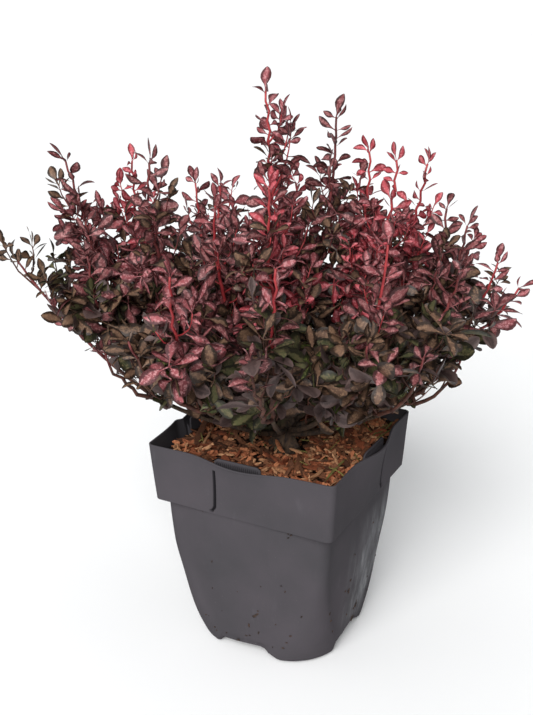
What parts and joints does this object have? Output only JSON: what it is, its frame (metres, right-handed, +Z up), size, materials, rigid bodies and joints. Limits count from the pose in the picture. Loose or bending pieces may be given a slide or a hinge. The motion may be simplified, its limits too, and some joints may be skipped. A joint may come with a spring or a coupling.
{
  "type": "potted barberry",
  "caption": "Young purple-leaved barberry shrub with upright, spreading shoots in a square tapered nursery pot with a deep collar.",
  "frame": {"origin": "middle of the pot's flat underside", "axes": "+Z up, X and Y square to the pot's sides"},
  "size_m": [0.3424, 0.3123, 0.4315],
  "materials": {
    "pot": "moulded satin plastic, lightly scuffed",
    "potting_mix": "loose bark chips and fibre, dry on top",
    "bark": "fine cracked bark on the older wood",
    "foliage": "wine purple leaves, coral pink at the tips, green low inside"
  },
  "bodies": {
    "root": {"pot": "pot", "potting_mix": "potting_mix", "trunk": "bark", "bough_01": "bark", "bough_02": "bark", "bough_03": "bark", "bough_04": "bark", "bough_05": "bark", "bough_06": "bark", "bough_07": "bark", "bough_08": "bark", "bough_09": "bark", "bough_10": "bark", "bough_11": "bark", "bough_12": "bark", "bough_13": "bark", "bough_14": "bark", "bough_15": "bark", "bough_16": "bark", "bough_17": "bark", "bough_18": "bark", "foliage_01_a": "foliage", "foliage_01_b": "foliage", "foliage_02_a": "foliage", "foliage_02_b": "foliage", "foliage_03_a": "foliage", "foliage_03_b": "foliage", "foliage_04_a": "foliage", "foliage_04_b": "foliage", "foliage_05_a": "foliage", "foliage_05_b": "foliage", "foliage_06_a": "foliage", "foliage_06_b": "foliage", "foliage_07_a": "foliage", "foliage_07_b": "foliage", "foliage_08_a": "foliage", "foliage_08_b": "foliage", "foliage_09_a": "foliage", "foliage_09_b": "foliage", "foliage_10_a": "foliage", "foliage_10_b": "foliage", "foliage_11_a": "foliage", "foliage_11_b": "foliage", "foliage_12_a": "foliage", "foliage_12_b": "foliage", "foliage_13_a": "foliage", "foliage_13_b": "foliage", "foliage_14_a": "foliage", "foliage_14_b": "foliage", "foliage_15_a": "foliage", "foliage_15_b": "foliage", "foliage_16_a": "foliage", "foliage_16_b": "foliage", "foliage_17_a": "foliage", "foliage_17_b": "foliage", "foliage_18_a": "foliage", "foliage_18_b": "foliage"}
  },
  "joints": []
}
